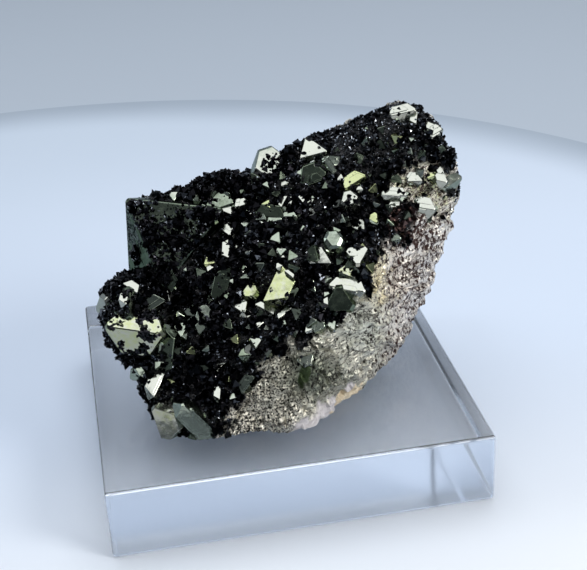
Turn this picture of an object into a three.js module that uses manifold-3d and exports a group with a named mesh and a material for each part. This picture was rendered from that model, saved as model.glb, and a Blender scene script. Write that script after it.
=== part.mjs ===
// Octahedral pyrite specimen, standing on a clear square block.
// Millimetres, +Z up, the display face looks towards -Y. Origin: centre of the block's underside.
import * as THREE from "three";
import { mergeVertices } from "three/addons/utils/BufferGeometryUtils.js";
import Module from "manifold-3d";

const wasm = await Module();
wasm.setup();

// Clear block
const blockSide = 50;
const blockHeight = 10;
const blockEdge = 0.5; // rounding of its edges

// Specimen as a whole
const footGap = 0.3;
const footLevel = blockHeight + footGap;
const cell = 1.9; // grid the body is sampled on
const outlineBlend = 2; // how softly the outline runs into the sides
const lumpBlend = 3;
const sink = 0.35; // how deep a crystal's middle sits in the stone, in its own sizes

// Display face: a leaning plane, described by where it looks and a point at its lower edge.
const faceTurn = 12;
const faceTilt = 40;
const faceFoot = [-10, -16.8, 10];
const faceLift = 1.2;
const faceDome = 2.6;

// Outline of the stone as seen from the front, in mm across and up a plane through its middle.
const outlineTurn = 9.5;
const outlineTilt = 27.5;
const outlineCentre = [2, -3, 26];

const rad = THREE.MathUtils.degToRad;

// Axes of a plane that looks towards -Y, turned to the left and tilted upwards by degrees.
function leaningPlane(turn, tilt, origin) {
  const t = rad(turn);
  const e = rad(tilt);
  const out = new THREE.Vector3(-Math.sin(t) * Math.cos(e), -Math.cos(t) * Math.cos(e), Math.sin(e));
  const across = new THREE.Vector3(Math.cos(t), -Math.sin(t), 0);
  const up = new THREE.Vector3().crossVectors(out, across);
  return { origin: new THREE.Vector3(...origin), across, up, out };
}

const face = leaningPlane(faceTurn, faceTilt, faceFoot);
const outlineFrame = leaningPlane(outlineTurn, outlineTilt, outlineCentre);

function placeOn(plane, across, up, out) {
  return plane.origin
    .clone()
    .addScaledVector(plane.across, across)
    .addScaledVector(plane.up, up)
    .addScaledVector(plane.out, out);
}

function readOn(plane, p) {
  const d = p.clone().sub(plane.origin);
  return [d.dot(plane.across), d.dot(plane.up), d.dot(plane.out)];
}

// Broken sides of the stone: a point on each and the way it looks.
const sides = [
  { at: [0.6, -18.6, 10], looks: [-0.1, -0.9, 0.42], blend: 3 }, // low front
  { at: [8.8, -11.9, 10], looks: [0.692, -0.703, -0.167], blend: 4 }, // right, under the display face
  { at: [-19, -6.5, 26], looks: [-0.85, -0.45, 0.1], blend: 2 }, // left, above the lumps
  { at: [-18.5, 2, 20], looks: [-0.93, 0.3, -0.2], blend: 3 }, // left, behind the lumps
  { at: [2, 14, 30], looks: [-0.05, 0.98, 0.18], blend: 2.5 }, // back
  { at: [5, 11, 13], looks: [0.12, 0.86, -0.5], blend: 3 }, // back, undercut towards the foot
  { at: [-12, 8, 20], looks: [-0.62, 0.76, -0.16], blend: 2.5 }, // back, left corner
  { at: [-8, 12, 33], looks: [-0.3, 0.62, 0.72], blend: 2 }, // back, upper left shelf
  { at: [16, 13.5, 38], looks: [0.2, 0.8, 0.56], blend: 3 }, // back, upper right
  { at: [25, 10, 27], looks: [0.72, 0.68, -0.12], blend: 3 }, // back, right corner
  { at: [0, 0, footLevel - 3], looks: [0, 0, -1], blend: 0.5 }, // underside, trimmed flat later
].map((s) => ({ ...s, at: new THREE.Vector3(...s.at), looks: new THREE.Vector3(...s.looks).normalize() }));

const outline = [
  [-15.8, -26], [13, -26], [13.5, -14.7], [16.4, -11.2], [20.1, -4.7], [22.8, 2.1], [24.2, 7], [25, 10.8],
  [23.8, 14.2], [22.2, 17.8], [20, 21], [17.3, 21.9], [15.2, 21.5], [13, 20.6], [9.6, 19.4], [6, 18],
  [1.2, 15.8], [-3.8, 13.9], [-8.6, 13.2], [-12.1, 12.1], [-14.5, 10.8], [-19, 10.8], [-20, 9.8],
  [-20.2, 1.6], [-20.4, -6], [-20.4, -12.3], [-19.6, -15.2], [-17.8, -17.4], [-15.8, -19.8],
];

// Rounded lumps that stand out of the left side: across, up and out from the outline's plane, and radius.
const lumps = [
  [-20.6, -3.2, 0.5, 4.4],
  [-20.2, -6.6, 1, 3.8],
];

// Gentle unevenness of rock, about -1 to 1, with waves of the given length.
function ripple(p, wave) {
  const k = (2 * Math.PI) / wave;
  const a = Math.sin(k * (0.81 * p.x + 0.43 * p.y - 0.39 * p.z) + 1.3);
  const b = Math.sin(k * (-0.36 * p.x + 0.88 * p.y + 0.31 * p.z) + 4.1);
  const c = Math.sin(k * (0.29 * p.x - 0.35 * p.y + 0.89 * p.z) + 2.6);
  return (a * b + b * c + c * a) / 1.6;
}

// Distance to the outline in its own plane, negative inside.
function outlineDistance(x, y) {
  let inside = false;
  let nearest = Infinity;
  for (let i = 0; i < outline.length; i++) {
    const [ax, ay] = outline[i];
    const [bx, by] = outline[(i + 1) % outline.length];
    const ex = bx - ax;
    const ey = by - ay;
    const t = THREE.MathUtils.clamp(((x - ax) * ex + (y - ay) * ey) / (ex * ex + ey * ey), 0, 1);
    nearest = Math.min(nearest, Math.hypot(x - ax - t * ex, y - ay - t * ey));
    if (ay > y !== by > y && x < ax + ((y - ay) / ey) * ex) inside = !inside;
  }
  return inside ? -nearest : nearest;
}

function softMax(a, b, blend) {
  const h = Math.max(blend - Math.abs(a - b), 0) / blend;
  return Math.max(a, b) + (h * h * blend) / 4;
}

// Height of the display face above its leaning plane.
function faceRelief(a, b) {
  const dome = faceDome * Math.exp(-((a - 8) ** 2 + (b - 20) ** 2) / 230);
  const dip = 1.4 * Math.exp(-((a - 2) ** 2 + (b - 30) ** 2) / 40);
  return faceLift + dome - dip;
}

// Negative inside the stone, positive outside.
function stone(p) {
  const [a, b, w] = readOn(face, p);
  let d = w - faceRelief(a, b);
  for (const side of sides) d = softMax(d, p.clone().sub(side.at).dot(side.looks), side.blend);
  const [x, y] = readOn(outlineFrame, p);
  d = softMax(d, outlineDistance(x, y), outlineBlend);
  for (const [across, up, out, size] of lumps)
    d = -softMax(-d, size - p.distanceTo(placeOn(outlineFrame, across, up, out)), lumpBlend);
  const rough = 1 + 0.9 * THREE.MathUtils.smoothstep(p.y, 2, 9);
  return d + 0.5 * rough * ripple(p, 11) + 0.3 * ripple(p, 4.6);
}

// Closed surface where the field is zero: one vertex in each cell the surface crosses.
function surfaceOf(field, low, high, step) {
  const count = [0, 1, 2].map((i) => Math.ceil((high[i] - low[i]) / step) + 1);
  const [nx, ny, nz] = count;
  const value = new Float64Array(nx * ny * nz);
  const index = (i, j, k) => i + nx * (j + ny * k);
  const point = (i, j, k) => new THREE.Vector3(low[0] + i * step, low[1] + j * step, low[2] + k * step);
  for (let k = 0; k < nz; k++)
    for (let j = 0; j < ny; j++)
      for (let i = 0; i < nx; i++) value[index(i, j, k)] = field(point(i, j, k));

  // A grid square whose corners alternate inside and outside would pinch the surface to an edge.
  const jumps = [1, nx, nx * ny];
  let pinched = true;
  while (pinched) {
    pinched = false;
    for (let n = 0; n < value.length - nx * ny - nx; n++)
      for (const [u, v] of [[jumps[0], jumps[1]], [jumps[1], jumps[2]], [jumps[0], jumps[2]]]) {
        const square = [n, n + u, n + u + v, n + v];
        const [a, b, c, d] = square.map((m) => value[m] < 0);
        if (a !== c || b !== d || a === b) continue;
        square.sort((m, o) => Math.abs(value[m]) - Math.abs(value[o]));
        value[square[0]] *= -1;
        pinched = true;
      }
  }

  const corner = [0, 1, 2, 3, 4, 5, 6, 7].map((n) => [n & 1, (n >> 1) & 1, n >> 2]);
  const vertexOf = new Map();
  const positions = [];
  function cellVertex(i, j, k) {
    const key = index(i, j, k);
    if (vertexOf.has(key)) return vertexOf.get(key);
    const sum = new THREE.Vector3();
    let crossings = 0;
    for (let m = 0; m < 8; m++)
      for (const bit of [1, 2, 4]) {
        if (m & bit) continue;
        const [p, q] = [corner[m], corner[m | bit]].map(([a, b, c]) => [i + a, j + b, k + c]);
        const u = value[index(...p)];
        const v = value[index(...q)];
        if (u < 0 === v < 0) continue;
        sum.add(point(...p).lerp(point(...q), u / (u - v)));
        crossings++;
      }
    sum.divideScalar(crossings);
    vertexOf.set(key, positions.length / 3);
    positions.push(sum.x, sum.y, sum.z);
    return vertexOf.get(key);
  }

  const faces = [];
  for (let k = 1; k < nz - 1; k++)
    for (let j = 1; j < ny - 1; j++)
      for (let i = 1; i < nx - 1; i++) {
        const here = value[index(i, j, k)] < 0;
        const steps = [[1, 0, 0], [0, 1, 0], [0, 0, 1]];
        steps.forEach((s, axis) => {
          const there = value[index(i + s[0], j + s[1], k + s[2])] < 0;
          if (here === there) return;
          const u = steps[(axis + 1) % 3];
          const v = steps[(axis + 2) % 3];
          const at = (m, n) => cellVertex(...[i, j, k].map((c, e) => c - m * u[e] - n * v[e]));
          const quad = [at(1, 1), at(0, 1), at(0, 0), at(1, 0)];
          if (!here) quad.reverse();
          faces.push(quad[0], quad[1], quad[2], quad[0], quad[2], quad[3]);
        });
      }
  const geometry = new THREE.BufferGeometry();
  geometry.setAttribute("position", new THREE.Float32BufferAttribute(positions, 3));
  geometry.setIndex(faces);
  return geometry;
}

function solidOf(geometry) {
  const plain = geometry.clone();
  plain.deleteAttribute("normal");
  plain.deleteAttribute("uv");
  const merged = mergeVertices(plain, 1e-4);
  return new wasm.Manifold(
    new wasm.Mesh({
      numProp: 3,
      vertProperties: new Float32Array(merged.attributes.position.array),
      triVerts: new Uint32Array(merged.index.array),
    }),
  );
}

function geometryOf(solid) {
  const mesh = solid.getMesh();
  const geometry = new THREE.BufferGeometry();
  geometry.setAttribute("position", new THREE.BufferAttribute(mesh.vertProperties, 3));
  geometry.setIndex(new THREE.BufferAttribute(mesh.triVerts, 1));
  const flat = geometry.toNonIndexed();
  flat.computeVertexNormals();
  return flat;
}

// The stone's surface under a point of the display face, found by coming in from the front.
function surfaceUnder(a, b) {
  for (let w = 14; w > -14; w -= 0.1) {
    const p = placeOn(face, a, b, w);
    if (stone(p) < 0) return p;
  }
  return placeOn(face, a, b, 0);
}

// How far inside the outline a point of the display face is.
function outlineRoom(a, b) {
  const [x, y] = readOn(outlineFrame, placeOn(face, a, b, 2));
  return -outlineDistance(x, y);
}

// An octahedron with one of its eight faces turned to look the given way.
function octahedron(centre, size, looks, spin, cut) {
  const turn = new THREE.Quaternion().setFromUnitVectors(new THREE.Vector3(1, 1, 1).normalize(), looks);
  const roll = new THREE.Quaternion().setFromAxisAngle(looks, spin);
  const matrix = new THREE.Matrix4().compose(centre, roll.multiply(turn), new THREE.Vector3(1, 1, 1));
  let solid = solidOf(new THREE.OctahedronGeometry(size, 0).applyMatrix4(matrix));
  if (cut < 1) {
    const side = 2 * size * cut;
    solid = solid.intersect(solidOf(new THREE.BoxGeometry(side, side, side).applyMatrix4(matrix)));
  }
  return solid;
}

// Large pyrite octahedra: mm across and up the display face, size from middle to corner, the turn
// and tilt of the broad face in degrees, its spin, and how far out the trimmed corners reach.
const largePyrite = [
  [8.6, 18.2, 4.6, 14, 50, 10, 0.8], // broad pale face in the middle
  [4.9, 16.6, 3, -20, 45, 40, 0.85],
  [14.3, 24.8, 2.7, 5, 30, 0, 0.75],
  [13.2, 22.4, 2.2, 30, 35, 25, 0.9],
  [19, 22.6, 2.6, 10, 62, 50, 0.85],
  [18.1, 20.4, 2.3, -15, 55, 15, 0.9],
  [17.2, 17.2, 3.6, 5, 66, 35, 0.85], // lower right group
  [7.4, 37.2, 2.8, 35, 60, 20, 0.9], // upper rim
  [13.2, 38.4, 3, 10, 60, 0, 0.95],
  [15.7, 35.6, 2.2, -25, 45, 70, 0.85],
  [25.7, 42.6, 2.6, 15, 62, 30, 0.85], // top corner
  [23.4, 43, 2, -10, 50, 80, 0.9],
  [29.2, 39.7, 1.9, 20, 50, 45, 0.85],
  [30.6, 34.8, 2.7, 0, 64, 15, 0.85], // right shoulder
  [28.1, 33.2, 2.5, 25, 58, 60, 0.9],
  [31.4, 32.2, 1.9, -40, 40, 10, 0.9],
  [26.2, 28.8, 3.1, 10, 62, 75, 0.85],
  [22.8, 29.4, 2, -10, 55, 35, 0.9],
  [19.2, 33.8, 2.3, 15, 52, 20, 0.9],
  [18.4, 30.3, 1.8, 0, 62, 5, 0.9],
  [11.2, 30.9, 2.5, 20, 48, 90, 0.85],
  [9.2, 28.8, 2.3, -15, 42, 50, 0.85],
  [6.4, 31.8, 2, 30, 55, 25, 0.9],
  [-8.8, 27.2, 4.9, 58, 10, 15, 0.85], // smooth upright face at the left edge
  [-0.9, 33.2, 3.2, 10, 45, 30, 0.85], // upper left group
  [1.7, 31.6, 2.6, -20, 52, 65, 0.9],
  [-3.6, 32.4, 2.4, 25, 58, 10, 0.85],
  [3.6, 33.3, 1.8, 5, 65, 40, 0.9],
  [2.1, 27.4, 1.9, -5, 60, 80, 0.9],
  [-10.8, 18.8, 4.6, 30, 55, 20, 0.85], // left lump
  [-10.2, 13.6, 4.4, 15, 38, 50, 0.85],
  [-12.9, 15.8, 3.2, 55, 25, 10, 0.9],
  [-6, 10.9, 3.8, 35, 30, 70, 0.85], // lower left, down to the foot
  [-8.2, 7.6, 3.2, 20, 60, 25, 0.85],
  [-6.2, 3.2, 4.2, 30, 35, 15, 0.85],
  [-2.6, 2.4, 4.4, -25, 30, 40, 0.85],
  [0.3, 6.4, 2, 10, 60, 55, 0.9],
  [-1.4, 17, 2.4, 5, 55, 35, 0.85],
  [-0.1, 21.2, 2, -20, 50, 10, 0.9],
  [-8.2, 18.8, 2.2, 0, 58, 60, 0.9],
];

// Smaller pyrite between them: across, up and size.
const smallPyrite = [
  [14.1, 17.6, 1.6], [1.5, 13.9, 1.3], [3.4, 12, 1.5], [6, 25.7, 1.4], [11.5, 26.5, 1.7], [20.9, 25.4, 1.7],
  [23.8, 31.4, 1.6], [-5.5, 29.9, 1.8], [-7.1, 24.4, 1.7], [16.2, 29.6, 1.3], [21.6, 22.5, 1.5],
  [22.9, 33.8, 1.4], [20, 38.1, 1.3], [17.8, 39.9, 1.4], [26.4, 37.8, 1.3], [28.4, 36.5, 1.6],
  [10.3, 34.7, 1.4], [3.3, 35.1, 1.5], [0.1, 35.4, 1.6], [11.2, 13.7, 1.4], [8, 13.7, 1.2], [13.5, 15, 1.5],
  [-12.5, 19.6, 1.8],
];

// Lumps of black crystals: a sunflower spiral over the display face keeps them evenly apart.
const blackCount = 150;
const blackReach = 2.3; // distance from the middle, for each root of the number along the spiral
const blackCentre = [9, 23];

// Right and lower limit of the crystals on the display face; beyond it the stone is bare.
const bareEdge = [
  [-4, -2], [1.5, 1.5], [5, 9], [8, 12], [13.5, 12], [16.5, 14], [21.5, 19], [22.5, 22], [24, 25],
  [28.5, 28], [34, 33],
];

function onDisplayFace(a, b) {
  const i = bareEdge.findIndex(([x]) => a < x);
  if (i <= 0) return i === 0 && b > 2;
  const [[x0, y0], [x1, y1]] = [bareEdge[i - 1], bareEdge[i]];
  return b > y0 + ((a - x0) / (x1 - x0)) * (y1 - y0);
}

const crystals = [];
function addCrystal(a, b, size, turn, tilt, spin, cut) {
  const centre = surfaceUnder(a, b).addScaledVector(face.out, -sink * size);
  const looks = leaningPlane(turn, tilt, [0, 0, 0]).out;
  crystals.push(octahedron(centre, size, looks, rad(spin), cut));
}

for (const crystal of largePyrite) addCrystal(...crystal);
smallPyrite.forEach(([a, b, size], i) => {
  addCrystal(a, b, size, 12 + 45 * Math.sin(i * 2.3), 42 + 25 * Math.sin(i * 1.7), i * 47, 0.9);
});
for (let i = 0; i < blackCount; i++) {
  const angle = i * 2.4;
  const radius = blackReach * Math.sqrt(i);
  const a = blackCentre[0] + radius * Math.cos(angle);
  const b = blackCentre[1] + radius * Math.sin(angle);
  const size = 1.6 + 0.5 * Math.sin(i * 3.1);
  if (!onDisplayFace(a, b) || outlineRoom(a, b) < 1) continue;
  addCrystal(a, b, size, 12 + 60 * Math.sin(i * 2.9), 40 + 35 * Math.sin(i * 4.3), i * 61, 1);
}

const body = solidOf(surfaceOf(stone, [-28, -25, 4], [34, 21, 50], cell));
const below = new THREE.BoxGeometry(120, 120, 40).translate(0, 0, footLevel - 20);
const specimenSolid = body.add(wasm.Manifold.union(crystals)).subtract(solidOf(below)).simplify(0.02);

function blockGeometry() {
  const half = blockSide / 2;
  const shape = new THREE.Shape();
  shape.moveTo(-half + blockEdge, -half + blockEdge);
  shape.lineTo(half - blockEdge, -half + blockEdge);
  shape.lineTo(half - blockEdge, half - blockEdge);
  shape.lineTo(-half + blockEdge, half - blockEdge);
  shape.closePath();
  const geometry = new THREE.ExtrudeGeometry(shape, {
    depth: blockHeight - 2 * blockEdge,
    bevelThickness: blockEdge,
    bevelSize: blockEdge,
    bevelSegments: 3,
  });
  return geometry.translate(0, 0, blockEdge);
}

function node(name, geometry, colour, extra) {
  const material = new THREE.MeshStandardMaterial({ color: colour, ...extra });
  const mesh = new THREE.Mesh(geometry, material);
  mesh.name = name;
  return mesh;
}

const part = new THREE.Group();
const clear = { roughness: 0.05, transparent: true, opacity: 0.35 };
part.add(node("acrylic_block", blockGeometry(), 0xdfe8f2, clear));
part.add(node("specimen", geometryOf(specimenSolid), 0x3a3a34, { roughness: 0.4, metalness: 0.5 }));

export default part;
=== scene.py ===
import math

import bmesh
import bpy
import numpy as np
from mathutils import Matrix, Vector, noise


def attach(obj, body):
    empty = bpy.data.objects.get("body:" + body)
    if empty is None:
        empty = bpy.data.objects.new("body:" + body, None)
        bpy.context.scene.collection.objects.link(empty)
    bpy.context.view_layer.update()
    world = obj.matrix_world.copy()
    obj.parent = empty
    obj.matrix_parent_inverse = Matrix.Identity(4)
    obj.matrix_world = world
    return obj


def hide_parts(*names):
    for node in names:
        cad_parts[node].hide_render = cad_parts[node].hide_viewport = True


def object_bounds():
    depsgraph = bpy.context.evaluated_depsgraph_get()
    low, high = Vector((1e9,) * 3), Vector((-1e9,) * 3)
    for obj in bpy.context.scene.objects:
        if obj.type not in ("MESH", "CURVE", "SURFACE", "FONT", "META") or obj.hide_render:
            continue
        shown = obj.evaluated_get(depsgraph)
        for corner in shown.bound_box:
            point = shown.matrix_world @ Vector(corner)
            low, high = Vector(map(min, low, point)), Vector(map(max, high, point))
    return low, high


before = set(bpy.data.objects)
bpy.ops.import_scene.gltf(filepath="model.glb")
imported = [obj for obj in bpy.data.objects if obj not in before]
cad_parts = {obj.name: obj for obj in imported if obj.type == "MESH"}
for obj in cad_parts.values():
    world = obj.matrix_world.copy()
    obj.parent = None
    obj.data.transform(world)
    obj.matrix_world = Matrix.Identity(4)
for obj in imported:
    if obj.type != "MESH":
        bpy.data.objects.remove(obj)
cadBounds = [list(corner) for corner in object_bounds()]
mm = 0.001
nearCorner, farCorner = np.array(cadBounds) / mm
print("frame loaded:", ", ".join(sorted(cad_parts)))

# the stone's form, in mm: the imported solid's, but for the first lump, the hollows and the bare edge
stone = {
    "centre": (1.0, -2.0, 25.0),             # the stone's surface is found along rays from here
    "longestRay": 50.0,
    "halvings": 24,                          # how often the place on a ray is narrowed down
    "fineness": 7,                           # how often the ball it is made from is divided
    "footLevel": 10.3,
    "footMargin": 0.02,                      # mm above it that still belong to the flat foot
    "face": {"turn": 12, "tilt": 40, "foot": (-10, -16.8, 10), "lift": 1.2},
    "dome": {"at": (8, 20), "spread": 230, "height": 2.6},
    "dip": {"at": (2, 30), "spread": 40, "height": 1.4},
    "outlineView": {"turn": 9.5, "tilt": 27.5, "centre": (2, -3, 26), "blend": 2},
    "lumpBlend": 3,
    "hollowBlend": 0.5,
    "longWaves": (11, 0.5),                  # their length and height
    "shortWaves": (4.6, 0.3),
    "roughBack": (0.9, 2, 9),                # how much rougher, from where to where along Y
    "finishWaves": (0.45, 1.9),              # broad and fine waves of the finishes' edges, turns per mm
    "cover": 0.03,                           # mm kept free inside the CAD box
    "crustCover": 0.4,                       # and so much more where there is crust
}

# a point on each side, the way it looks, and how softly it runs into the others
stoneSides = [
    ((0.6, -18.6, 10), (-0.1, -0.9, 0.42), 3),
    ((8.8, -11.9, 10), (0.692, -0.703, -0.167), 4),
    ((-19, -6.5, 26), (-0.85, -0.45, 0.1), 2),
    ((-18.5, 2, 20), (-0.93, 0.3, -0.2), 3),
    ((2, 14, 30), (-0.05, 0.98, 0.18), 2.5),
    ((5, 11, 13), (0.12, 0.86, -0.5), 3),
    ((-12, 8, 20), (-0.62, 0.76, -0.16), 2.5),
    ((-8, 12, 33), (-0.3, 0.62, 0.72), 2),
    ((16, 13.5, 38), (0.2, 0.8, 0.56), 3),
    ((25, 10, 27), (0.72, 0.68, -0.12), 3),
    ((0, 0, 7.3), (0, 0, -1), 0.5),
]

# seen from the front, across and up
stoneOutline = [
    (-15.8, -26), (13, -26), (13.5, -14.7), (16.4, -11.2), (20.1, -4.7), (22.8, 2.1), (24.2, 7), (25, 10.8),
    (23.8, 14.2), (22.2, 17.8), (20, 21), (17.3, 21.9), (15.2, 21.5), (13, 20.6), (9.6, 19.4), (6, 18),
    (1.2, 15.8), (-3.8, 13.9), (-8.6, 13.2), (-12.1, 12.1), (-14.5, 10.8), (-19, 10.8), (-20, 9.8),
    (-20.2, 1.6), (-20.4, -6), (-20.4, -12.3), (-19.6, -15.2), (-17.8, -17.4), (-15.8, -19.8),
]

# lumps on the left side: across, up and out of the outline's plane, and radius
stoneLumps = [(-20.6, -3.7, 0.5, 4.1), (-20.2, -6.6, 1, 3.8)]

# hollows beside the large crystal on the left, whose side stands free: place and radius
stoneHollows = [((-27.4, -1.4, 29.4), 12)]

# right and lower limit of the crystals on the display face; beyond it the stone is bare
bareEdge = [
    (-4, -2), (0.5, 1.5), (3, 4), (5, 7.5), (8, 11.5), (13.5, 12), (16.5, 14), (20.3, 19), (21.3, 22),
    (22.8, 25), (28.5, 28), (34, 33),
]
bareEdgeSlope = 0.72                         # turns mm up the face into mm square to this limit


def leaningPlane(turn, tilt, origin=(0, 0, 0)):
    t, e = math.radians(turn), math.radians(tilt)
    out = np.array([-math.sin(t) * math.cos(e), -math.cos(t) * math.cos(e), math.sin(e)])
    across = np.array([math.cos(t), -math.sin(t), 0.0])
    return {"origin": np.array(origin, float), "across": across, "up": np.cross(out, across), "out": out}


face = leaningPlane(stone["face"]["turn"], stone["face"]["tilt"], stone["face"]["foot"])
outlineView = leaningPlane(
    stone["outlineView"]["turn"], stone["outlineView"]["tilt"], stone["outlineView"]["centre"])


def readOn(plane, points):
    offset = points - plane["origin"]
    return offset @ plane["across"], offset @ plane["up"], offset @ plane["out"]


def placeOn(plane, across, up, out=0.0):
    across, up, out = (np.asarray(value, float)[..., None] for value in (across, up, out))
    return plane["origin"] + across * plane["across"] + up * plane["up"] + out * plane["out"]


rippleWays = [((0.81, 0.43, -0.39), 1.3), ((-0.36, 0.88, 0.31), 4.1), ((0.29, -0.35, 0.89), 2.6)]


def ripple(points, wave):                    # the unevenness of rock, about -1 to 1
    k = 2 * math.pi / wave
    a, b, c = (np.sin(k * (points @ np.array(way)) + start) for way, start in rippleWays)
    return (a * b + b * c + c * a) / 1.6


def smooth(value, low, high):
    t = np.clip((value - low) / (high - low), 0, 1)
    return t * t * (3 - 2 * t)


def spot(a, b, at, spread):                  # 1 at a place on the display face, fading around it
    return np.exp(-((a - at[0]) ** 2 / spread[0] + (b - at[1]) ** 2 / spread[1]))


def roundSpot(a, b, at, spread):
    return np.exp(-((a - at[0]) ** 2 + (b - at[1]) ** 2) / spread)


def outlineDistance(x, y):                   # mm outside the outline, negative inside it
    inside = np.zeros(x.shape, bool)
    nearest = np.full(x.shape, 1e9)
    for (ax, ay), (bx, by) in zip(stoneOutline, stoneOutline[1:] + stoneOutline[:1]):
        ex, ey = bx - ax, by - ay
        t = np.clip(((x - ax) * ex + (y - ay) * ey) / (ex * ex + ey * ey), 0, 1)
        nearest = np.minimum(nearest, np.hypot(x - ax - t * ex, y - ay - t * ey))
        if ey:
            inside ^= ((ay > y) != (by > y)) & (x < ax + (y - ay) / ey * ex)
    return np.where(inside, -nearest, nearest)


def softMax(a, b, blend):                    # the larger of the two, with a rounded passage
    h = np.maximum(blend - np.abs(a - b), 0) / blend
    return np.maximum(a, b) + h * h * blend / 4


def stoneField(points):                      # negative inside the stone, positive outside
    a, b, w = readOn(face, points)
    forms = (stone[name] for name in ("dome", "dip"))
    dome, dip = (form["height"] * roundSpot(a, b, form["at"], form["spread"]) for form in forms)
    d = w - (stone["face"]["lift"] + dome - dip)
    for at, looks, blend in stoneSides:
        looks = np.array(looks) / np.linalg.norm(looks)
        d = softMax(d, (points - np.array(at)) @ looks, blend)
    x, y, _ = readOn(outlineView, points)
    d = softMax(d, outlineDistance(x, y), stone["outlineView"]["blend"])
    for at, size in stoneHollows:
        d = softMax(d, size - np.linalg.norm(points - np.array(at), axis=-1), stone["hollowBlend"])
    for across, up, out, size in stoneLumps:
        lump = placeOn(outlineView, across, up, out)
        d = -softMax(-d, size - np.linalg.norm(points - lump, axis=-1), stone["lumpBlend"])
    rougher, start, end = stone["roughBack"]
    rough = 1 + rougher * smooth(points[..., 1], start, end)
    longWave, high = stone["longWaves"]
    shortWave, low = stone["shortWaves"]
    return d + high * rough * ripple(points, longWave) + low * ripple(points, shortWave)


probe = {"top": 14, "step": 0.1, "count": 190}    # heights over the face where the stone is looked for


def surfaceUnder(a, b):                      # the stone's surface, or level with the face beside it
    line = placeOn(face, a, b, probe["top"] - probe["step"] * np.arange(probe["count"]))
    inside = stoneField(line) < 0
    return line[np.argmax(inside)] if inside.any() else placeOn(face, a, b)


def crustRoom(points):                       # mm inside the edge of the crust, negative on bare stone
    a, b, _ = readOn(face, points)
    return (b - np.interp(a, *zip(*bareEdge))) * bareEdgeSlope


def spiral(i, middle, spacing, start=0.0):   # places spread evenly over the display face
    a = middle[0] + spacing * math.sqrt(i) * math.cos(2.4 * i + start)
    b = middle[1] + spacing * math.sqrt(i) * math.sin(2.4 * i + start)
    return a, b


class Socket:                                # a node's output, for use in sums
    def __init__(self, shader, link):
        self.shader, self.link = shader, link

    def __add__(self, other):
        return self.shader.maths("ADD", self, other)

    def __sub__(self, other):
        return self.shader.maths("SUBTRACT", self, other)

    def __rsub__(self, other):
        return self.shader.maths("SUBTRACT", other, self)

    def __mul__(self, other):
        return self.shader.maths("MULTIPLY", self, other)

    def __abs__(self):
        return self.shader.maths("ABSOLUTE", self)

    __radd__, __rmul__ = __add__, __mul__


class Shader:                                # the nodes of a material or of the world
    def __init__(self, owner):
        owner.use_nodes = True
        self.owner, self.tree = owner, owner.node_tree
        self.tree.nodes.clear()

    def node(self, kind, settings=None, values=None, out=0):
        made = self.tree.nodes.new(kind)
        for name, value in (settings or {}).items():
            if name == "stops":
                while len(made.color_ramp.elements) < len(value):
                    made.color_ramp.elements.new(0.5)
                for element, (position, colour) in zip(made.color_ramp.elements, value):
                    element.position = position
                    element.color = (*colour, 1)
            else:
                setattr(made, name, value)
        for name, value in (values or {}).items():
            if isinstance(value, Socket):
                self.tree.links.new(value.link, made.inputs[name])
            else:
                made.inputs[name].default_value = value
        return Socket(self, made.outputs[out]) if made.outputs else None

    def maths(self, operation, *values):
        return self.node("ShaderNodeMath", {"operation": operation}, dict(enumerate(values)))

    def place(self):
        return self.node("ShaderNodeTexCoord", out="Object")

    def noise(self, vector, scale, detail, roughness=0.55):
        values = {"Vector": vector, "Scale": scale, "Detail": detail, "Roughness": roughness}
        return self.node("ShaderNodeTexNoise", values=values)

    def cells(self, vector, scale, out="Distance"):
        return self.node("ShaderNodeTexVoronoi", values={"Vector": vector, "Scale": scale}, out=out)

    def part(self, vector, axis):            # one number of a vector or colour
        return self.node("ShaderNodeSeparateXYZ", values={0: vector}, out=axis)

    def vector(self, operation, *values, scale=None, out=0):
        values = dict(enumerate(values))
        if scale is not None:
            values["Scale"] = scale
        return self.node("ShaderNodeVectorMath", {"operation": operation}, values, out)

    def band(self, value, low, high):        # 0 below low, 1 above high
        return self.node("ShaderNodeMapRange", {"interpolation_type": "SMOOTHSTEP"},
                         {"Value": value, "From Min": low, "From Max": high})

    def mix(self, factor, a, b):
        a, b = ((*c, 1) if isinstance(c, tuple) else c for c in (a, b))
        return self.node("ShaderNodeMix", {"data_type": "RGBA"}, {0: factor, 6: a, 7: b}, out=2)

    def attribute(self, name):
        return self.node("ShaderNodeAttribute", {"attribute_name": name}, out="Fac")

    def bump(self, height, distance, strength):
        values = {"Height": height, "Distance": distance, "Strength": strength}
        return self.node("ShaderNodeBump", values=values)

    def lean(self, normal, colour, amount):      # leans the surface its own way in each grain
        way = self.vector("SCALE", self.vector("SUBTRACT", colour, (0.5, 0.5, 0.5)), scale=amount)
        return self.vector("NORMALIZE", self.vector("ADD", normal, way))

    def surface(self, values, volume=None):
        ends = {"Surface": self.node("ShaderNodeBsdfPrincipled", values=values)}
        if volume:
            ends["Volume"] = volume
        self.node("ShaderNodeOutputMaterial", values=ends)
        return self.owner


def newShader(name):
    return Shader(bpy.data.materials.new(name))


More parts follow.
